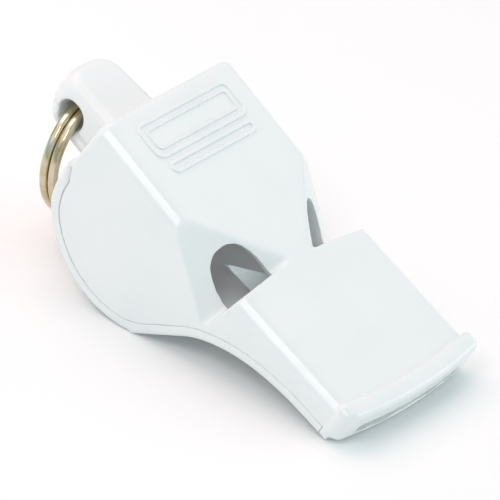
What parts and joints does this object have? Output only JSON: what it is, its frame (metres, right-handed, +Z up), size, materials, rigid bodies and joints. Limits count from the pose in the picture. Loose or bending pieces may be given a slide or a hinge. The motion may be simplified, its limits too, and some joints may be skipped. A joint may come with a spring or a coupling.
{
  "type": "pealess training whistle",
  "caption": "Moulded pealess whistle with a round belly, angled side vents, a flat lipped mouthpiece and a rear lug that carries a split ring.",
  "frame": {"origin": "centre of the whole object's footprint, on the surface that it stands on", "axes": "+X towards the lips, +Y across the whistle, +Z up; the whistle stands on its belly and on the underside of its lip, so the mouthpiece slopes down towards +X"},
  "size_m": [0.046, 0.0218, 0.0199],
  "materials": {
    "shell_plastic": "smooth glossy white moulding",
    "insert_plastic": "mid grey moulding",
    "core_plastic": "smooth white moulding",
    "ring_metal": "bright plated spring steel"
  },
  "bodies": {
    "whistle": {"upper_shell": "shell_plastic", "lower_shell": "shell_plastic", "chamber_insert": "insert_plastic", "windway_core": "core_plastic"},
    "ring": {"split_ring": "ring_metal"}
  },
  "joints": [
    {"name": "ring_swing", "type": "hinge", "parent": "whistle", "child": "ring", "pos_m": [-0.01972, 0, 0.01407], "axis": [0, 1, 0], "range_deg": [-18, 230]}
  ]
}
